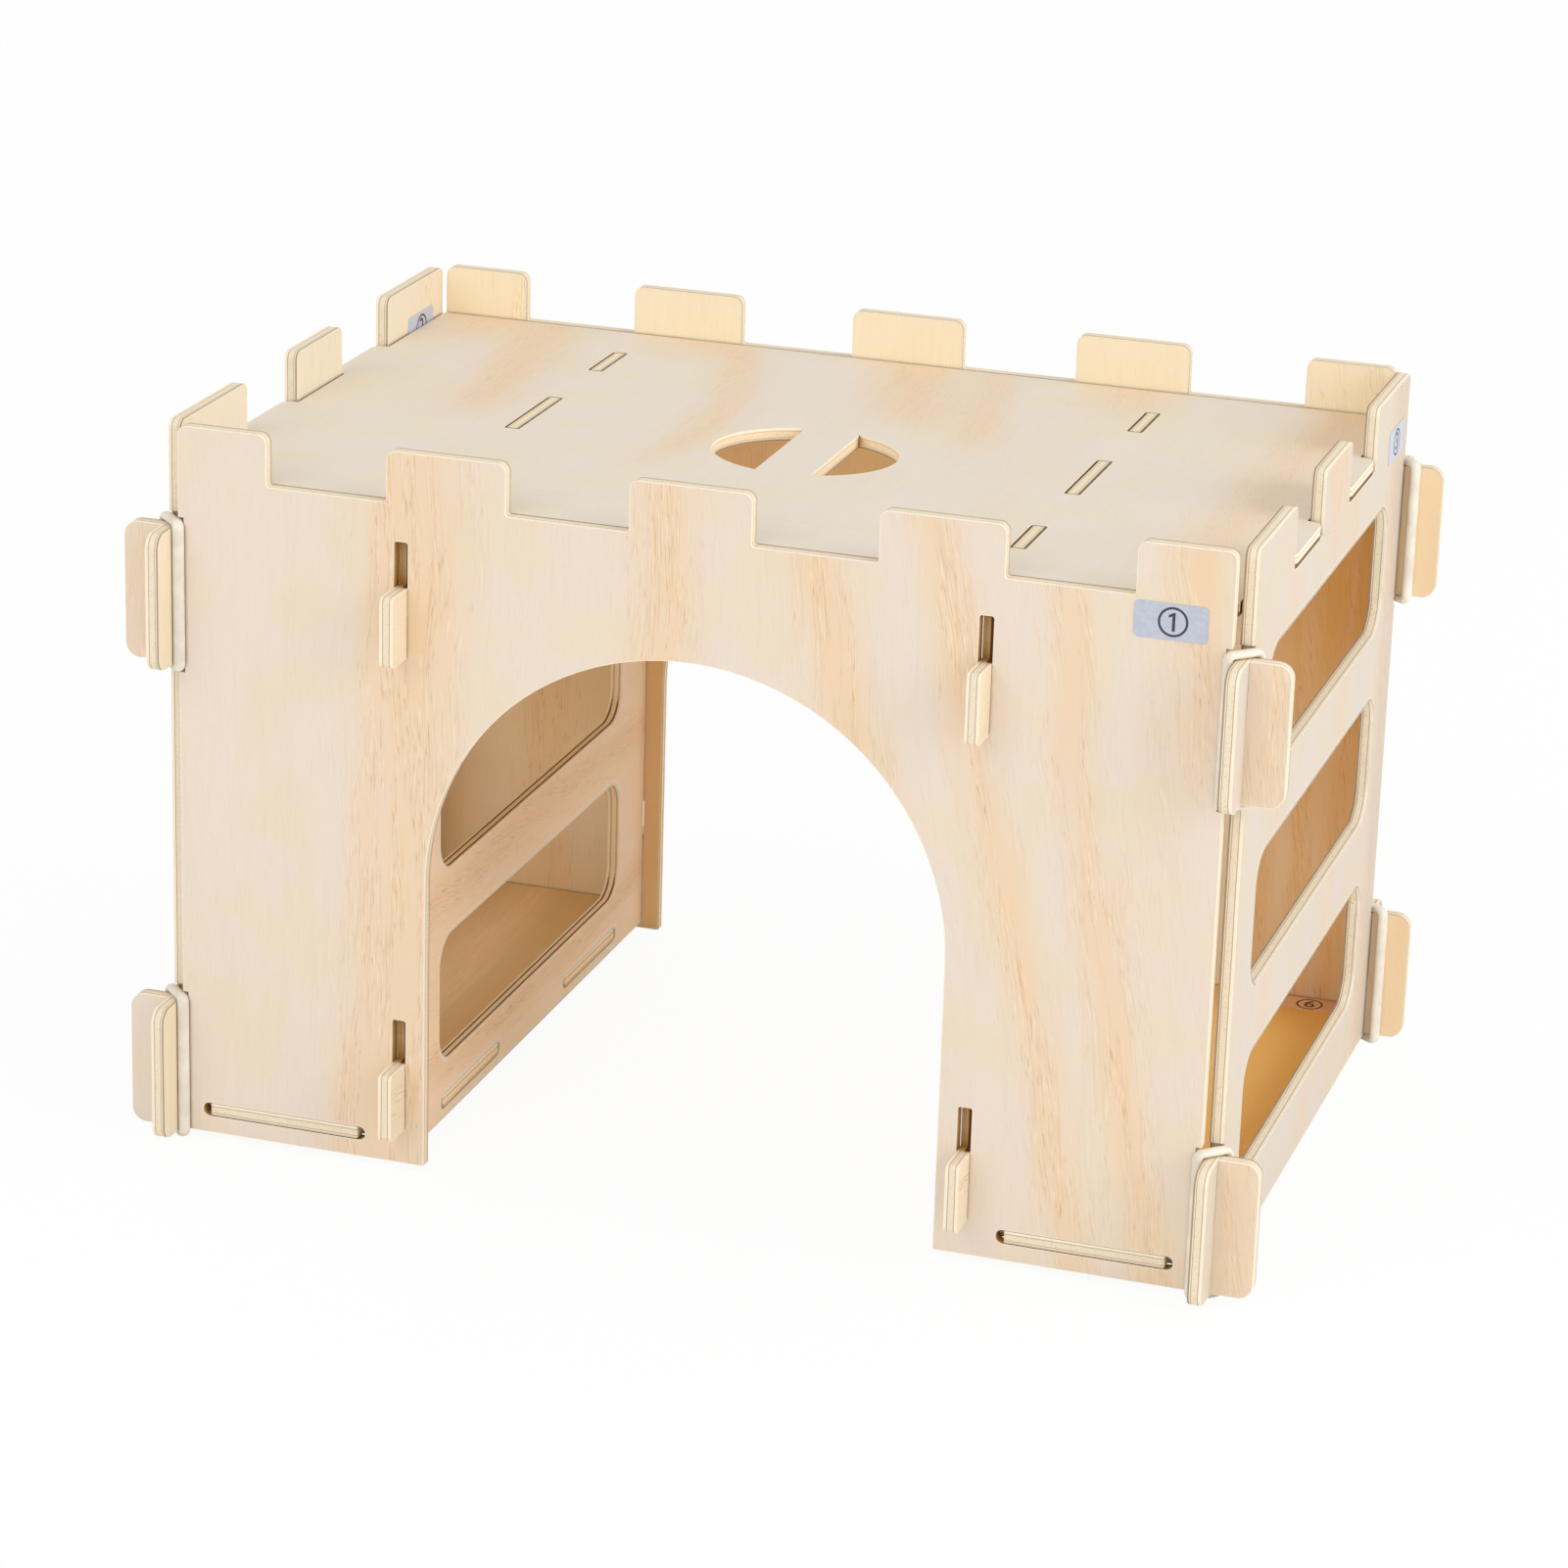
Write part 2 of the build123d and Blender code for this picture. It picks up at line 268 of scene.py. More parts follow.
FLOOR_STREAKS = (
    (-150.0, -146.0, -140.0, 10.0, 0.8, NO_FADE),
    (150.0, 146.0, 140.0, 10.0, 0.8, NO_FADE),
)
WALL_STREAKS = (
    (30.0, 24.0, 32.0, 7.0, 0.8, NO_FADE),
    (88.0, 96.0, 90.0, 9.0, 0.7, NO_FADE),
    (160.0, 152.0, 158.0, 8.0, 0.6, NO_FADE),
    (236.0, 230.0, 238.0, 8.0, 0.6, NO_FADE),
)

# The nine sheets
Sheet = namedtuple("Sheet", "kind outer inner streaks outer_is_high opening")
SHEETS = {
    "front_panel": Sheet(LONG_WALL, FRONT_SIDE, LONG_ROOM_SIDE, FRONT_STREAKS, False, NO_OPENING),
    "back_panel": Sheet(LONG_WALL, FRONT_SIDE, LONG_ROOM_SIDE, BACK_STREAKS, True, BACK_ARCH),
    "left_end_panel": Sheet(END_WALL, LEFT_END_SIDE, END_ROOM_SIDE, END_STREAKS, False, END_WINDOWS),
    "right_end_panel": Sheet(END_WALL, END_SIDE, END_ROOM_SIDE, END_STREAKS, True, END_WINDOWS),
    "left_inner_wall": Sheet(INNER_WALL, PASSAGE_SIDE, ROOM_SIDE, WALL_STREAKS, True, INNER_WINDOWS),
    "right_inner_wall": Sheet(INNER_WALL, PASSAGE_SIDE, ROOM_SIDE, WALL_STREAKS, False, INNER_WINDOWS),
    "left_floor_panel": Sheet(FLOOR, FLOOR_SIDE, FLOOR_SIDE, FLOOR_STREAKS, True, FLOOR_TABS),
    "right_floor_panel": Sheet(FLOOR, RIGHT_FLOOR_SIDE, RIGHT_FLOOR_SIDE, FLOOR_STREAKS, True, FLOOR_TABS),
    "roof_panel": Sheet(ROOF, ROOF_SIDE, ROOM_SIDE, ROOF_STREAKS, True, VENT),
}
SEED_START = 1.3
SEED_STEP = 3.7

# Labels: printed ring and digit in millimetres
RING_OUTER = 5.3
RING_INNER = 4.5
RING_STEPS = 64
RING_OFFSET = 0.7
INK_THICKNESS = 0.04
DIGIT_SIZE = 9.45
DIGIT_BOLDNESS = 0.14
ONE = (
    (0.75, -3.3), (0.75, 3.3), (0.05, 3.3), (-1.6, 2.3), (-1.6, 1.35), (-0.3, 2.05), (-0.3, -3.3),
)

# Studio in metres: half width of the ground, light levels, and each lamp's place, width
# and power
GROUND_HALF = 4.0
GROUND_GLOW = 0.94
WORLD_LEVEL = 0.74
LAMP_AIM = (0.0, 0.0, 0.12)
LAMPS = (
    ("key", (-1.0, -2.3, 1.9), 2.2, 17.0),
    ("side", (2.6, -0.4, 1.3), 2.0, 36.0),
)


def linear(colour):
    """Scene colour of a colour from 0 to 255."""
    values = []
    for part in colour:
        part = part / 255
        values.append(part / 12.92 if part <= 0.04045 else ((part + 0.055) / 1.055) ** 2.4)
    return (*values, 1.0)


class Graph:
    """Builds one material's shader graph from short expressions."""

    def __init__(self, name):
        self.material = bpy.data.materials.new(name)
        self.material.use_nodes = True
        self.tree = self.material.node_tree
        self.tree.nodes.clear()
        self.output = self.node("OutputMaterial")

    def put(self, socket, value):
        """Link a socket or set a plain value on an input."""
        if isinstance(value, bpy.types.NodeSocket):
            self.tree.links.new(value, socket)
        else:
            socket.default_value = value

    def node(self, kind, *values, **named):
        """Add a node, with values for its first inputs in order or for inputs by name."""
        node = self.tree.nodes.new("ShaderNode" + kind)
        for socket, value in zip(node.inputs, values):
            self.put(socket, value)
        for name, value in named.items():
            self.put(node.inputs[name.replace("_", " ")], value)
        return node

    def math(self, operation, a, b=0.0, clamp=False):
        node = self.node("Math", a, b)
        node.operation = operation
        node.use_clamp = clamp
        return node.outputs[0]

    def add(self, *values):
        total = values[0]
        for value in values[1:]:
            total = self.math("ADD", total, value)
        return total

    def times(self, *values):
        total = values[0]
        for value in values[1:]:
            total = self.math("MULTIPLY", total, value)
        return total

    def larger(self, a, b):
        return self.math("MAXIMUM", a, b)

    def rest(self, value):
        """What is missing from a value up to 1."""
        return self.math("SUBTRACT", 1.0, value)

    def away(self, value, centre=0.0):
        """How far a value is from a centre."""
        if centre:
            value = self.add(value, -centre)
        return self.math("ABSOLUTE", value)

    def between(self, value, low, high, start=0.0, end=1.0):
        """Smooth step from start to end as the value goes from low to high."""
        node = self.node("MapRange", value, low, high, start, end)
        node.interpolation_type = "SMOOTHSTEP"
        return node.outputs["Result"]

    def mix(self, factor, a, b):
        node = self.node("Mix")
        node.data_type = "RGBA"
        for name, value in (("Factor", factor), ("A", a), ("B", b)):
            self.put(node.inputs[name], value)
        return node.outputs["Result"]

    def split(self, vector):
        return list(self.node("SeparateXYZ", vector).outputs)

    def join(self, x, y, z):
        return self.node("CombineXYZ", x, y, z).outputs[0]

    def noise(self, vector, scale, detail=3.0, roughness=0.5):
        node = self.node("TexNoise", Vector=vector, Scale=scale, Detail=detail, Roughness=roughness)
        return node.outputs["Fac"]

    def stretched(self, across, along, size, seed, detail=2.0, roughness=0.5):
        """Noise drawn out along the grain, of the given width and length in millimetres."""
        width, length = size
        place = self.join(self.times(across, 1 / width), self.times(along, 1 / length), seed)
        return self.noise(place, 1.0, detail, roughness)

    def place(self):
        """Position on the piece in millimetres, split into three."""
        scale = self.node("VectorMath", self.node("TexCoord").outputs["Object"])
        scale.operation = "SCALE"
        self.put(scale.inputs["Scale"], 1 / MM)
        return self.split(scale.outputs[0])

    def facing(self):
        """The flat normal of the surface, split into three."""
        return self.split(self.node("NewGeometry").outputs["True Normal"])

    def openness(self, reach):
        """How open the surroundings of a point are, from 0 in a crevice to 1."""
        node = self.node("AmbientOcclusion", Distance=reach * MM)
        node.samples = SURROUNDING_RAYS
        return node.outputs["AO"]

    def within(self, place, spans):
        """1 inside a box given by axis, middle and half length of its spans, and 0 outside."""
        if not spans:
            return 0.0
        total = 1.0
        for axis, middle, half in spans:
            away = self.away(place[axis], middle)
            total = self.times(self.between(away, half - 1.0, half + 1.0, 1.0, 0.0), total)
        return total

    def edges(self, reach):
        """Nearness of an edge, from 0 to about 0.3 on it, and which way the surface turns there."""
        bevel = self.node("Bevel", Radius=reach * MM)
        bevel.samples = SURROUNDING_RAYS
        flat = self.node("NewGeometry").outputs["True Normal"]
        alike = self.node("VectorMath", bevel.outputs[0], flat)
        alike.operation = "DOT_PRODUCT"
        turn = self.node("VectorMath", bevel.outputs[0], flat)
        turn.operation = "SUBTRACT"
        return self.rest(alike.outputs["Value"]), self.split(turn.outputs["Vector"])

    def bump(self, height, strength, distance):
        return self.node("Bump", Height=height, Strength=strength, Distance=distance * MM).outputs[0]

    def surface(self, colour, roughness, **sockets):
        node = self.node("BsdfPrincipled", Base_Color=colour, Roughness=roughness, **sockets)
        self.put(self.output.inputs[0], node.outputs[0])
        return self.material


Marks = namedtuple("Marks", "streak lines pale fibre")


def streak_share(graph, bent, along, height, streaks):
    """How much of a place is in the streaks of its veneer."""
    square = graph.times(height, height)
    total = 0.0
    for far, centre, near, half_width, strength, fade_from in streaks:
        line = graph.add(
            graph.times(height, (far - near) / 2),
            graph.times(square, (far + near) / 2 - centre),
            centre,
        )
        ratio = graph.times(graph.math("SUBTRACT", bent, line), 1 / half_width)
        bell = graph.math("POWER", 2.718, graph.times(ratio, ratio, -1.0))
        if fade_from > NO_FADE:
            fade = graph.between(along, fade_from - FADE_REACH, fade_from + FADE_REACH)
            bell = graph.times(bell, fade)
        total = graph.add(graph.times(bell, strength), total)
    return total


def grain(graph, across, along, streaks, middle, seed):
    """Streaks, fine grain lines, pale dashes and fibres at a place on a sheet."""
    drift = graph.noise(graph.join(graph.times(along, 0.012), seed, 0.0), 1.0, 2.0)
    drift = graph.times(graph.add(drift, -0.5), STREAK_DRIFT)
    fray = graph.stretched(across, along, FRAY, seed, 3.0)
    fray = graph.times(graph.add(fray, -0.5), STREAK_FRAY)
    bent = graph.add(across, drift, fray)
    height = graph.times(graph.add(along, -middle), 1 / PANEL_REACH)
    streak = streak_share(graph, bent, along, height, streaks)
    patches = graph.stretched(across, along, PATCH, seed)
    streak = graph.add(streak, graph.between(patches, 0.50, 0.75, 0.0, PATCH_SHARE))
    fibre = graph.stretched(bent, along, FIBRE, seed + 1.0, 3.0, 0.6)
    streak = graph.times(streak, graph.between(fibre, 0.30, 0.70, 0.72, 1.25))
    flow = graph.add(across, drift, graph.times(graph.between(across, -30.0, 90.0, 0.0, 0.17), along))
    fine = graph.stretched(flow, along, FINE_LINE, seed + 2.0, 1.0)
    groups = graph.stretched(flow, along, LINE_GROUP, seed + 3.0)
    dashes = graph.stretched(flow, along, DASH, seed + 4.0, 1.0)
    dash_groups = graph.between(groups, 0.40, 0.54)
    lines = graph.times(graph.between(fine, 0.48, 0.68), graph.between(groups, 0.36, 0.54))
    pale = graph.times(graph.between(dashes, 0.42, 0.32), dash_groups)
    dark = graph.times(graph.between(dashes, 0.60, 0.70), dash_groups)
    lines = graph.larger(graph.times(lines, LINE_SHARE), graph.times(dark, DASH_SHARE))
    presence = graph.math("ADD", graph.times(streak, 0.9), LEAST_MARKS, clamp=True)
    streak = graph.math("ADD", streak, 0.0, clamp=True)
    return Marks(streak, graph.times(lines, presence), graph.times(pale, presence), fibre)


def base_veneer(graph, kind, side, place, blotch):
    """Colour of a side of a sheet, before its streaks and lines."""
    red, green, blue = side.veneer
    cooler = linear((red, green, min(255, blue + 2)))
    warmer = linear((red, green, blue - 6))
    base = graph.mix(graph.between(blotch, 0.42, 0.62), cooler, warmer)
    if side not in ROOM_SIDES:
        return base
    # Painted warm bounce light makes the rooms' sides more golden higher up
    base = graph.mix(graph.between(place[2], *ROOM_RISE), base, linear(ROOM_HIGH_BOUNCE))
    if kind is LONG_WALL:
        # In the passage, the back's inner face takes golden painted bounce light, paler higher up where it
        # shows through the vent
        middle = graph.mix(graph.between(place[2], *VENT_RISE), linear(PASSAGE_BACK_BOUNCE), linear(VENT_BACK_BOUNCE))
        base = graph.mix(graph.between(graph.away(place[0]), *ARCH_SIDE, 1.0, 0.0), base, middle)
        # A pale strip is painted on the back panel's inner face where it shows through the seam at the
        # front right corner
        seam = graph.away(place[0], SEAM_STRIP_X)
        seam = graph.between(seam, *SEAM_STRIP_SIDE, 1.0, 0.0)
        base = graph.mix(seam, base, linear(SEAM_PALE_STRIP))
    if kind is END_WALL:
        # Painted shade darkens the ends' inner faces next to the corner seams
        seam = graph.between(graph.away(place[1]), *END_SEAM_SIDE)
        base = graph.mix(seam, base, linear(SEAM_SHADE))
    return base


def side_veneer(graph, kind, side, place, blotch, marks, tabs):
    """Colour of a side of a sheet, with its streaks, tabs and grain lines."""
    base = base_veneer(graph, kind, side, place, blotch)
    streak_colour = linear(side.streak)
    if side.merlon:
        above_roof = graph.between(place[2], *MERLON_RISE)
        base = graph.mix(above_roof, base, linear(side.merlon))
        streak_colour = graph.mix(above_roof, streak_colour, linear(side.merlon))
    colour = graph.mix(marks.streak, base, streak_colour)
    if side is END_SIDE:
        # Painted shade: the right end's outer face grows darker towards its back end
        back = graph.between(place[1], *END_BACK_SIDE, 0.0, END_BACK_SHADE_SHARE)
        colour = graph.mix(back, colour, linear(END_BACK_SHADE))
    colour = graph.mix(tabs, colour, linear(BACK_TAB if kind is LONG_WALL else TAB_VENEER))
    pale = graph.times(marks.pale, kind.line_strength, PALE_DASH_SHARE)
    colour = graph.mix(pale, colour, linear(RIM_HIGHLIGHT_AND_PALE_GRAIN))
    return graph.mix(graph.times(marks.lines, kind.line_strength), colour, linear(GRAIN_LINE))


def layers_of_edge(graph, sheet, place, facing, rim, inside):
    """Layers of the cut edges, with specks of end grain in the core and glue lines."""
    is_inner_wall = sheet.kind is INNER_WALL
    wider = graph.times(inside, WIDER_GLUE if is_inner_wall else 0.0)
    glue = graph.times(
        graph.between(graph.add(rim, wider), *GLUE_START),
        graph.between(graph.math("SUBTRACT", rim, wider), *GLUE_END, 1.0, 0.0),
    )
    if is_inner_wall:
        # The dark glue lines of the inner windows are strongest on their sills
        sill = graph.between(facing[2], 0.2, 0.7, SIDE_GLUE_SHARE, 1.0)
        glue = graph.times(glue, graph.larger(sill, graph.rest(inside)))
    edge_veneer, edge_core, edge_glue = (
        graph.mix(inside, linear(plain), linear(special))
        for plain, special in zip(PLAIN_EDGE, sheet.opening.edge)
    )
    speck = graph.between(graph.noise(graph.join(*place), 1.3, 2.0), 0.50, 0.70)
    core = graph.mix(graph.times(speck, SPECK_SHARE), edge_core, linear(GRAIN_LINE))
    layers = graph.mix(graph.between(rim, *VENEER_START), core, edge_veneer)
    return graph.mix(graph.times(glue, GLUE_SHARE), layers, edge_glue)


def slot_shade_share(graph, kind, place):
    """How much painted shade browns the cut edges inside narrow slots."""
    slot_shade = graph.between(graph.openness(SLOT_REACH), 0.30, 0.75, 1.0, 0.0)
    if kind is INNER_WALL:
        return graph.times(slot_shade, graph.between(graph.away(place[1]), *INNER_WALL_END))
    if kind is LONG_WALL:
        away = graph.away(graph.away(place[0]), HOOK_SLOT_X)
        hook_slots = graph.between(away, *HOOK_SLOT_SIDE, 1.0, 0.0)
        floor_slots = graph.within(place, ((2, FLOOR_SLOT_Z, FLOOR_SLOT_HALF),))
        return graph.times(slot_shade, graph.larger(hook_slots, floor_slots))
    return slot_shade


def cut_edge(graph, sheet, place, facing, depth, inside, flatness):
    """Colour of the cut edges of a sheet and of the rounding along them."""
    kind = sheet.kind
    rim = graph.away(depth, 0.5)
    waver = graph.noise(graph.join(*place), 0.10, 2.0)
    rim = graph.add(rim, graph.times(graph.add(waver, -0.5), EDGE_WAVER))
    layers = layers_of_edge(graph, sheet, place, facing, rim, inside)
    # Painted shade browns the cut edges inside the narrow slots
    if kind in (LONG_WALL, INNER_WALL, ROOF):
        layers = graph.mix(slot_shade_share(graph, kind, place), layers, linear(SLOT_SHADE))
    rounding_light_and_shade = linear(RIM_HIGHLIGHT_AND_PALE_GRAIN)
    if kind is INNER_WALL:
        # The tabs in the roof's slots are pale between two dark lines of painted gap shade, and the end
        # behind each hook slot has a dark line of painted shade on its right
        top = graph.between(place[2], *TAB_TOP_RISE)
        layers = graph.mix(graph.times(top, TAB_TOP_SHARE), layers, linear(TAB_TOP))
        lines = graph.times(top, graph.between(rim, *TAB_LINE_START))
        layers = graph.mix(lines, layers, linear(GAP_SHADE_LINE))
        rounding_light_and_shade = graph.mix(top, linear(RIM_HIGHLIGHT_AND_PALE_GRAIN), linear(GAP_SHADE_LINE))
        reach = graph.away(place[1])
        behind = graph.between(reach, *HOOK_BACK_START)
        behind = graph.times(behind, graph.between(reach, *HOOK_BACK_END, 1.0, 0.0))
        behind = graph.times(behind, graph.between(depth, 0.50, 0.57))
        layers = graph.mix(behind, layers, linear(CREVICE_SHADE))
    else:
        # Painted shade darkens the arris on the hidden side of every other cut edge
        inward = graph.rest(depth) if sheet.outer_is_high else depth
        arris = graph.between(inward, 0.82, 0.90, 0.0, ARRIS_SHADE_SHARE)
        layers = graph.mix(arris, layers, linear(ARRIS_SHADE))
    # The rounding along the cut edges gets a painted highlight, and on the inner walls' tab tops painted
    # shade instead
    layers = graph.mix(graph.between(flatness, 0.20, 0.40), layers, rounding_light_and_shade)
    if kind is ROOF:
        # Painted gap shade darkens the lower layers at the ends of the roof
        ends = graph.between(graph.away(place[0]), *ROOF_END)
        lower = graph.between(depth, 0.36, 0.28)
        layers = graph.mix(graph.times(ends, lower), layers, linear(GAP_SHADE_LINE))
    return layers


def outlined(graph, kind, veneer, inside):
    """A veneer with a painted highlight rim and a thin tan line of painted shade along every outline of
    its sheet.
    """
    edge, _ = graph.edges(OUTLINE_REACH)
    line = graph.times(graph.between(edge, 0.004, 0.012), graph.between(edge, 0.02, 0.05, 1.0, 0.0))
    veneer = graph.mix(graph.times(line, OUTLINE_SHADE_SHARE), veneer, linear(OUTLINE_SHADE))
    veneer = graph.mix(graph.between(edge, 0.03, 0.09), veneer, linear(RIM_HIGHLIGHT_AND_PALE_GRAIN))
    if kind not in (END_WALL, INNER_WALL):
        return veneer
    # In the windows, the arrises that turn down or to the back end in a thin dark line of painted shade,
    # with a painted highlight beside it
    edge, turn = graph.edges(ARRIS_REACH)
    under = graph.larger(
        graph.between(turn[2], -0.06, -0.16),
        graph.between(turn[1], 0.06, 0.16),
    )
    under = graph.times(under, inside)
    pale = graph.times(under, graph.between(edge, 0.02, 0.04))
    veneer = graph.mix(pale, veneer, linear(RIM_HIGHLIGHT_AND_PALE_GRAIN))
    dark = graph.times(pale, graph.between(edge, 0.08, 0.11))
    strength = INNER_WINDOW_LINE_SHARE if kind is INNER_WALL else WINDOW_LINE_SHARE
    return graph.mix(graph.times(dark, strength), veneer, linear(ARRIS_SHADE))


def plywood(name, sheet, low_face, seed):
    """Plywood of one sheet: veneer on both faces, layers on the cut edges."""
    graph = Graph(name)
    kind = sheet.kind
    place = graph.place()
    facing = graph.facing()
    across = place[3 - kind.thickness_axis - kind.grain_axis]
    along = place[kind.grain_axis]
    middle = PANEL_MIDDLE if kind.grain_axis == 2 else 0.0
    marks = grain(graph, across, along, sheet.streaks, middle, seed)
    blotch = graph.noise(graph.join(*(graph.times(part, 1 / BLOTCH) for part in place)), 1.0, 2.0)
    sideways = graph.away(place[0] if kind is LONG_WALL else place[1])
    tabs = graph.between(sideways, kind.body_half, kind.body_half + 1.0)
    outer_tabs = tabs if kind is INNER_WALL else 0.0
    outer = side_veneer(graph, kind, sheet.outer, place, blotch, marks, outer_tabs)
    inner = side_veneer(graph, kind, sheet.inner, place, blotch, marks, tabs)
    toward = facing[kind.thickness_axis]
    if not sheet.outer_is_high:
        toward = graph.times(toward, -1.0)
    veneer = graph.mix(graph.between(toward, -0.1, 0.1), inner, outer)
    fibres = graph.between(marks.fibre, 0.35, 0.65, FIBRE_SHARE, 0.0)
    veneer = graph.mix(fibres, veneer, linear(GRAIN_LINE))
    inside = graph.within(place, sheet.opening.spans)
    veneer = outlined(graph, kind, veneer, inside)
    depth = graph.times(graph.add(place[kind.thickness_axis], -low_face / MM), 1 / PLY)
    flatness = graph.away(facing[kind.thickness_axis])
    layers = cut_edge(graph, sheet, place, facing, depth, inside, flatness)
    colour = graph.mix(graph.between(flatness, 0.975, 0.99), layers, veneer)
    # Painted shade makes the crevices between the sheets brown and dark, but for those near the corners
    crevice_shade = graph.between(graph.openness(CREVICE_REACH), 0.15, 0.70, CREVICE_SHADE_SHARE, 0.0)
    near_corner = (kind.body_half - CORNER_START, kind.body_half - CORNER_END)
    corner = graph.between(sideways, *near_corner, 1.0, CORNER_SHADE_SHARE)
    colour = graph.mix(graph.times(crevice_shade, corner), colour, linear(CREVICE_SHADE))
    pores = graph.stretched(across, along, PORE, seed, 3.0)
    roughness = graph.larger(
        graph.between(pores, 0.3, 0.7, 0.52, 0.68),
        graph.between(flatness, 0.99, 0.95),
    )
    bump = graph.bump(graph.math("SUBTRACT", pores, marks.lines), 0.15, 0.1)
    return graph.surface(colour, roughness, Normal=bump, Specular_IOR_Level=0.3)


def dress(node, material):
    """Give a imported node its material."""
    for slot in node.material_slots:
        slot.material = material


def soften_edges(node):
    """Round the sharp edges of a sheet a little, as sanding does."""
    weld = node.modifiers.new("join_faces", "WELD")
    weld.merge_threshold = WELD_REACH * MM
    bevel = node.modifiers.new("sanded_edges", "BEVEL")
    bevel.width = EDGE_ROUNDING * MM
    bevel.segments = ROUNDING_STEPS
    bevel.limit_method = "ANGLE"
    bevel.angle_limit = SHARP_ANGLE
    bevel.harden_normals = True


def make_plywood(nodes):
    """Plywood materials of the nine sheets."""
    for count, (name, sheet) in enumerate(SHEETS.items()):
        low_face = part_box(name)[0][sheet.kind.thickness_axis]
        seed = SEED_STEP * count + SEED_START
        dress(nodes[name], plywood(name + "_plywood", sheet, low_face, seed))
        soften_edges(nodes[name])


def make_rings(nodes):
    """Milky elastic with a soft sheen and faint clouds for the eight rings."""
    graph = Graph("milky_elastic")
    clouds = graph.noise(graph.join(*graph.place()), 0.12, 2.0)
    colour = graph.mix(graph.between(clouds, 0.3, 0.7), linear(RING_MILKY), linear(RING_PALE))
    material = graph.surface(
        colour, graph.between(clouds, 0.3, 0.7, 0.30, 0.42), Normal=graph.bump(clouds, 0.04, 0.2),
        Subsurface_Weight=0.15, Subsurface_Scale=1.0 * MM, Subsurface_Radius=(1.0, 1.0, 1.0),
    )
    for name, node in nodes.items():
        if name.endswith("_ring"):
            dress(node, material)


def film_material(name, film):
    """Thin printed sticker with faint mottling and a slight sheen."""
    graph = Graph(name)
    mottle = graph.noise(graph.join(*graph.place()), 0.6, 3.0)
    paler = tuple(min(255, part + FILM_MOTTLE) for part in film)
    colour = graph.mix(graph.between(mottle, 0.35, 0.7), linear(film), linear(paler))
    roughness = graph.between(mottle, 0.3, 0.7, 0.35, 0.5)
    return graph.surface(colour, roughness, Normal=graph.bump(mottle, 0.04, 0.05))


def ink_material(name, ink):
    """Printed dark ink, a little uneven."""
    graph = Graph(name)
    mottle = graph.noise(graph.join(*graph.place()), 3.0, 2.0)
    paler = tuple(part + INK_MOTTLE for part in ink)
    colour = graph.mix(graph.between(mottle, 0.4, 0.7), linear(ink), linear(paler))
    return graph.surface(colour, graph.between(mottle, 0.3, 0.7, 0.4, 0.55))


def mesh_piece(name, loops, is_ring):
    """A thin piece with faces between loops of points, and over the last loop but for a ring."""
    mesh = bpy.data.meshes.new(name)
    work = bmesh.new()
    rows = []
    for loop in loops:
        rows.append([work.verts.new((x * MM, y * MM, z * MM)) for x, y, z in loop])
    if not is_ring:
        work.faces.new(rows[-1])
    for low, high in zip(rows, rows[1:]):
        for i in range(len(low)):
            j = (i + 1) % len(low)
            work.faces.new((low[i], low[j], high[j], high[i]))
    bmesh.ops.recalc_face_normals(work, faces=work.faces)
    work.to_mesh(mesh)
    work.free()
    return bpy.data.objects.new(name, mesh)


def drawn_one(name):
    """The digit 1 as a thin flat piece."""
    loops = [[(x, y, height) for x, y in ONE] for height in (0.0, INK_THICKNESS)]
    return mesh_piece(name, loops, is_ring=False)


def drawn_ring(name):
    """The printed ring as a thin flat piece."""
    loops = []
    for radius, height in (
        (RING_INNER, 0.0), (RING_INNER, INK_THICKNESS), (RING_OUTER, INK_THICKNESS), (RING_OUTER, 0.0)
    ):
        angles = [2 * math.pi * i / RING_STEPS for i in range(RING_STEPS)]
        loops.append([(radius * math.cos(angle), radius * math.sin(angle), height) for angle in angles])
    return mesh_piece(name, loops, is_ring=True)


def written_digit(name, digit):
    """A digit as thin flat text."""
    words = bpy.data.curves.new(name, "FONT")
    words.body = digit
    words.size = DIGIT_SIZE * MM
    words.extrude = INK_THICKNESS * MM / 2
    words.offset = DIGIT_BOLDNESS * MM
    words.align_x = "CENTER"
    words.align_y = "CENTER"
    return bpy.data.objects.new(name, words)


def circled_number(name, digit, centre, along, up, ink):
    """A printed ring with a plain digit in it, on a label's face."""
    turn = Matrix((along, up, along.cross(up))).transposed().to_4x4()
    turn.translation = centre + along * RING_OFFSET * MM
    ring = drawn_ring(name + "_ring")
    number = drawn_one(name + "_digit") if digit == "1" else written_digit(name + "_digit", digit)
    for piece in (ring, number):
        bpy.context.collection.objects.link(piece)
        piece.matrix_world = turn
        piece.data.materials.append(ink)
        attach(piece, "house")


def make_labels(nodes):
    """Films and circled numbers of the four labels."""
    film = film_material("label_film_blue", LABEL_FILM)
    floor_film = film_material("label_film_floor", FLOOR_LABEL_FILM)
    ink = ink_material("printed_ink", INK)
    floor_ink = ink_material("printed_floor_ink", FLOOR_INK)
    x, y, z = Vector((1, 0, 0)), Vector((0, 1, 0)), Vector((0, 0, 1))
    labels = {
        "front_number_label": ("1", x, z, film, ink),
        "right_end_number_label": ("3", y, z, film, ink),
        "left_end_number_label": ("2", y, z, film, ink),
        "right_floor_number_label": ("6", x, y, floor_film, floor_ink),
    }
    for name, (digit, along, up, material, printed) in labels.items():
        dress(nodes[name], material)
        low, high = (Vector(corner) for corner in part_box(name))
        outward = along.cross(up)
        half = (high - low) / 2
        reach = sum(abs(outward[i]) * half[i] for i in range(3))
        centre = (low + high) / 2 + outward * reach
        circled_number(name, digit, centre, along, up, printed)


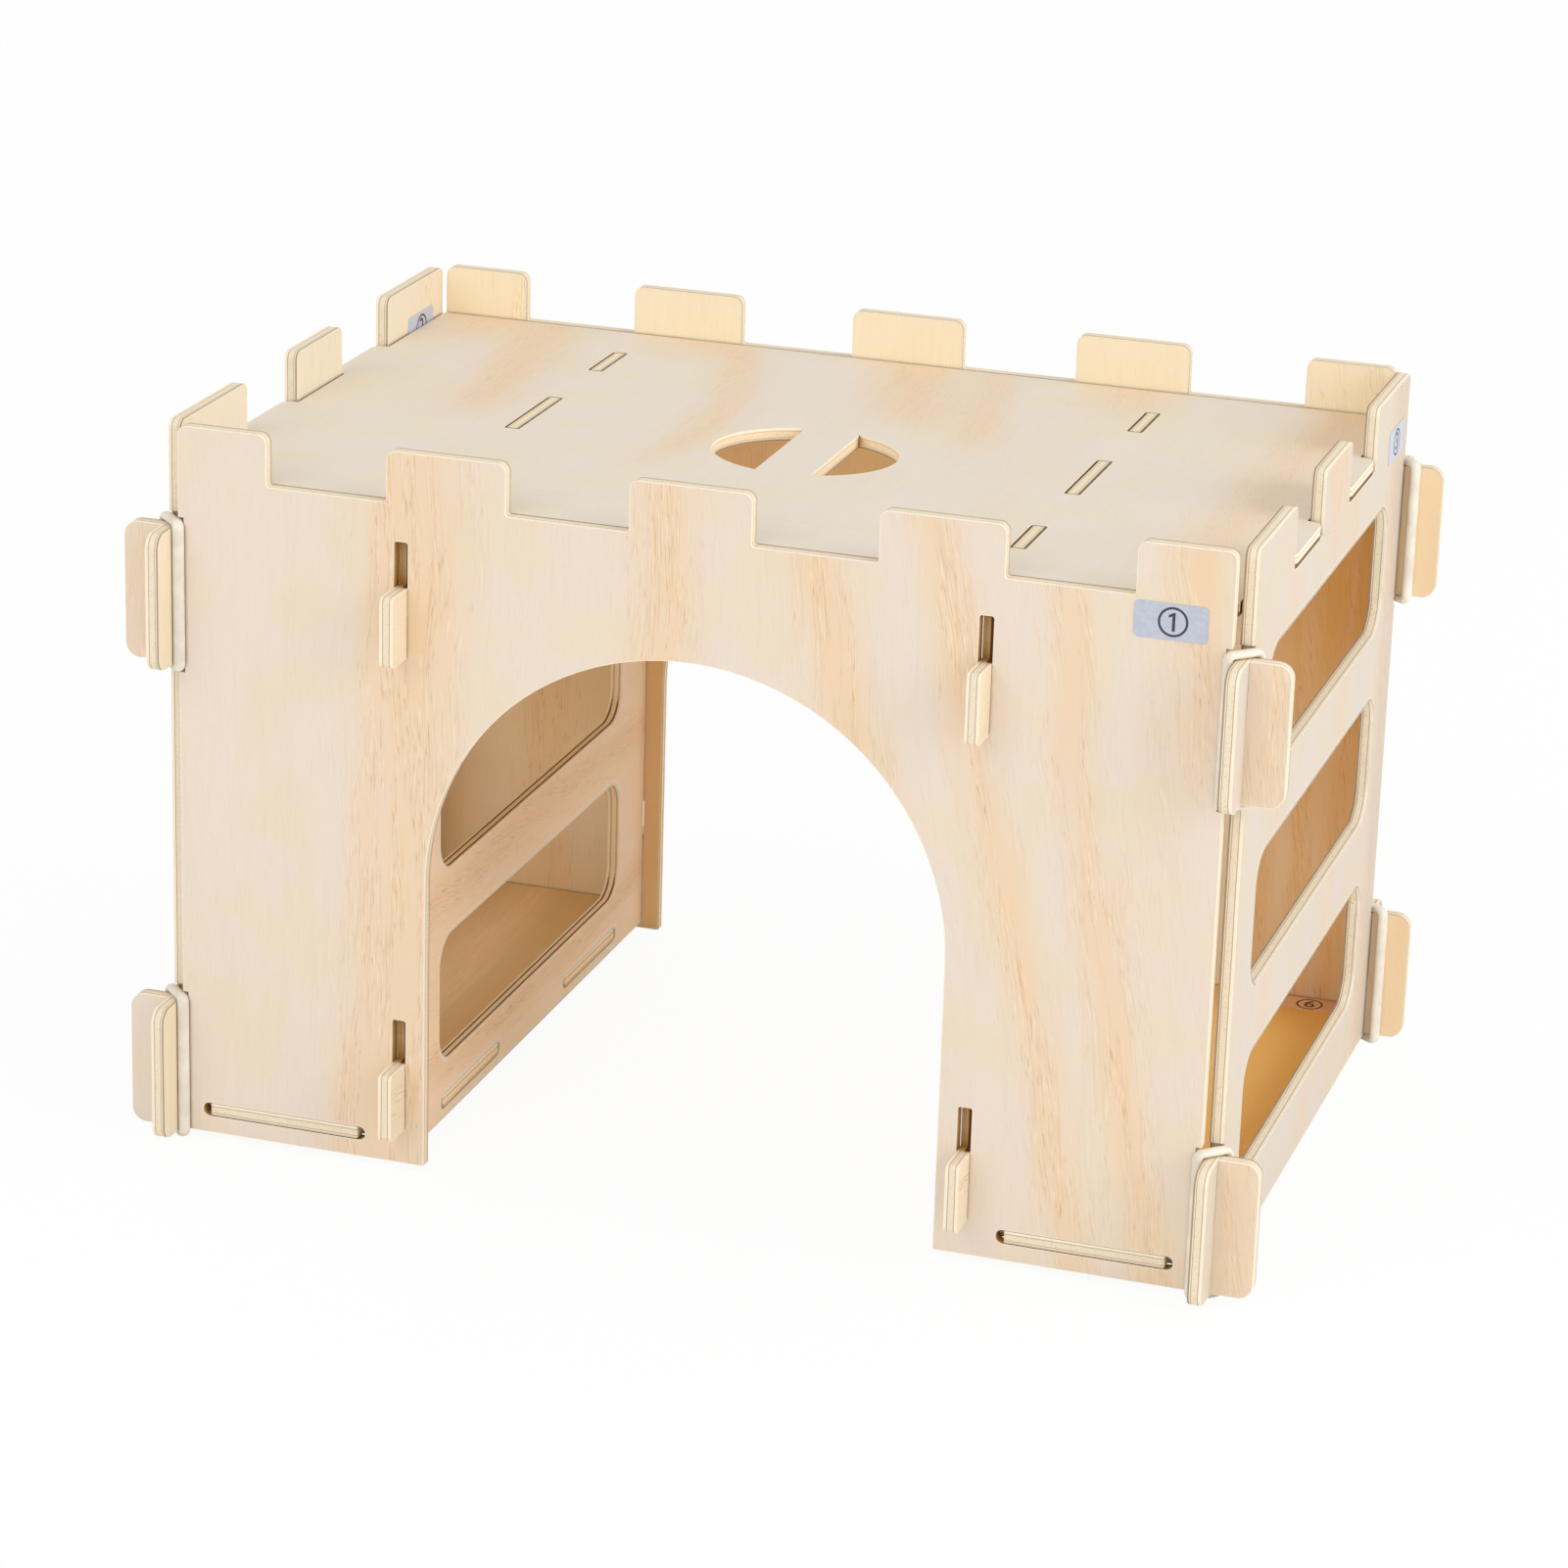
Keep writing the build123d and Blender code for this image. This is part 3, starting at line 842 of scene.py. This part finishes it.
def make_ground():
    """White ground that glows where it is seen and throws light back on the house."""
    mesh = bpy.data.meshes.new("studio_floor")
    corners = [(-GROUND_HALF, -GROUND_HALF, 0), (GROUND_HALF, -GROUND_HALF, 0),
               (GROUND_HALF, GROUND_HALF, 0), (-GROUND_HALF, GROUND_HALF, 0)]
    mesh.from_pydata(corners, [], [(0, 1, 2, 3)])
    floor = bpy.data.objects.new("studio_floor", mesh)
    bpy.context.collection.objects.link(floor)
    graph = Graph("studio_floor")
    rays = graph.node("LightPath")
    seen = graph.larger(rays.outputs["Is Camera Ray"], rays.outputs["Is Glossy Ray"])
    seen = graph.larger(seen, rays.outputs["Is Transmission Ray"])
    blend = graph.node(
        "MixShader",
        graph.times(seen, GROUND_GLOW),
        graph.node("BsdfDiffuse", linear(STUDIO_WHITE)).outputs[0],
        graph.node("Emission", Strength=1.0).outputs[0],
    )
    graph.put(graph.output.inputs[0], blend.outputs[0])
    mesh.materials.append(graph.material)


def make_world():
    """Even pale light from all sides, and white where it is seen."""
    world = bpy.data.worlds.new("studio_world")
    world.use_nodes = True
    nodes = world.node_tree.nodes
    links = world.node_tree.links
    background = nodes["Background"]
    background.inputs["Color"].default_value = (1.0, 1.0, 1.0, 1.0)
    rays = nodes.new("ShaderNodeLightPath")
    seen = nodes.new("ShaderNodeMath")
    seen.operation = "MAXIMUM"
    links.new(rays.outputs["Is Camera Ray"], seen.inputs[0])
    links.new(rays.outputs["Is Transmission Ray"], seen.inputs[1])
    strength = nodes.new("ShaderNodeMapRange")
    strength.inputs["To Min"].default_value = WORLD_LEVEL
    strength.inputs["To Max"].default_value = 1.0
    links.new(seen.outputs[0], strength.inputs["Value"])
    links.new(strength.outputs["Result"], background.inputs["Strength"])
    bpy.context.scene.world = world


def make_lamps():
    """Two wide soft lamps aimed at the house."""
    for name, place, size, power in LAMPS:
        light = bpy.data.lights.new(name, "AREA")
        light.size = size
        light.energy = power
        lamp = bpy.data.objects.new(name, light)
        bpy.context.collection.objects.link(lamp)
        lamp.location = place
        aim = Vector(LAMP_AIM) - Vector(place)
        lamp.rotation_euler = aim.to_track_quat("-Z", "Y").to_euler()


def make_camera():
    """Camera to the right of the front and a little above, with a slight roll."""
    az, el, roll = CAMERA_AZIMUTH, CAMERA_ELEVATION, CAMERA_ROLL
    forward = Vector((-math.sin(az) * math.cos(el), math.cos(az) * math.cos(el), -math.sin(el)))
    right = Vector((math.cos(az), math.sin(az), 0.0))
    up = right.cross(forward)
    right_rolled = right * math.cos(roll) + up * math.sin(roll)
    up_rolled = up * math.cos(roll) - right * math.sin(roll)
    data = bpy.data.cameras.new("camera")
    data.lens = CAMERA_LENS
    data.sensor_width = SENSOR_WIDTH
    data.sensor_fit = "HORIZONTAL"
    camera = bpy.data.objects.new("camera", data)
    bpy.context.collection.objects.link(camera)
    matrix = Matrix((right_rolled, up_rolled, -forward)).transposed().to_4x4()
    matrix.translation = Vector(CAMERA_PLACE)
    camera.matrix_world = matrix
    bpy.context.scene.camera = camera


def main():
    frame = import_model()
    nodes = frame["nodes"]
    make_plywood(nodes)
    make_rings(nodes)
    make_labels(nodes)
    make_ground()
    make_world()
    make_lamps()
    make_camera()
    bpy.context.scene.view_settings.view_transform = "Standard"
    bpy.context.view_layer.update()


main()
